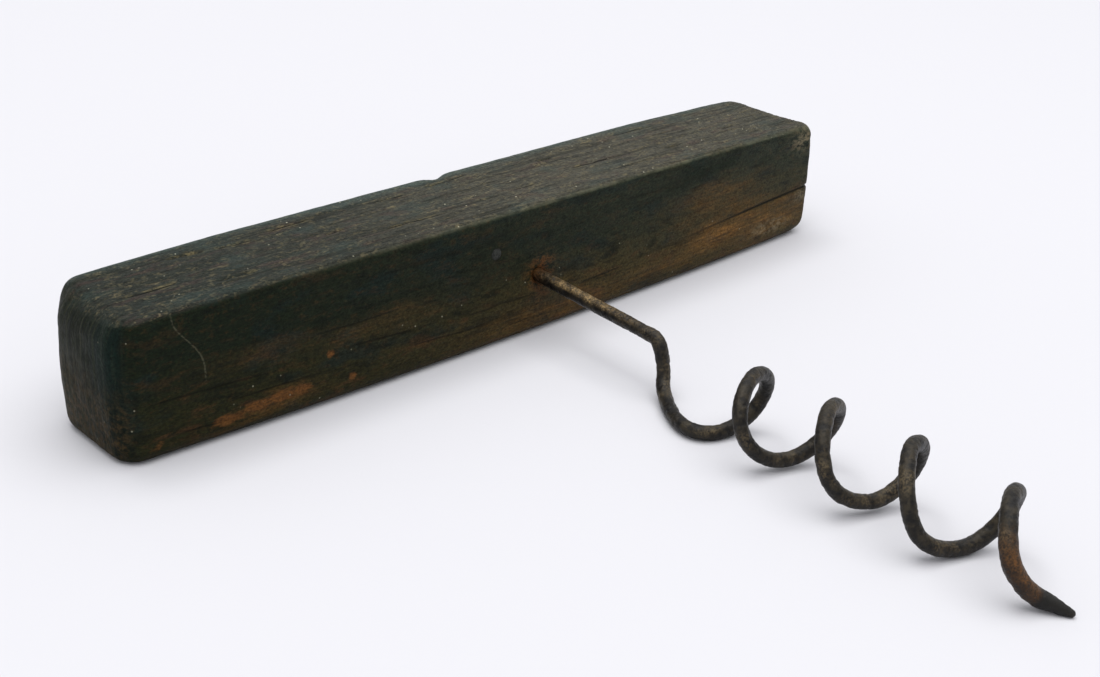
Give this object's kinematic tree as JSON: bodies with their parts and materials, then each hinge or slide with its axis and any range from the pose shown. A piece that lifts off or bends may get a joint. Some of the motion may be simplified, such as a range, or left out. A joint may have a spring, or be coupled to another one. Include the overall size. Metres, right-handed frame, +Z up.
{
  "type": "t-handle corkscrew",
  "caption": "Old direct-pull corkscrew: worn dark wooden cross bar with a bent, rusted iron wire shank and an open right-hand worm ground to a point.",
  "frame": {"origin": "centre of the bar's flat underside, the face it rests on", "axes": "+X along the wooden bar, -Y from the bar towards the point of the worm, +Z up from the surface it lies on"},
  "size_m": [0.116, 0.0995, 0.0176],
  "materials": {
    "dark_wood": "bare, blackened by age and handling, brown where worn",
    "rusted_iron": "dark brown oxide, pitted, orange rust towards the point"
  },
  "bodies": {
    "root": {"bar": "dark_wood", "wire_worm": "rusted_iron"}
  },
  "joints": []
}
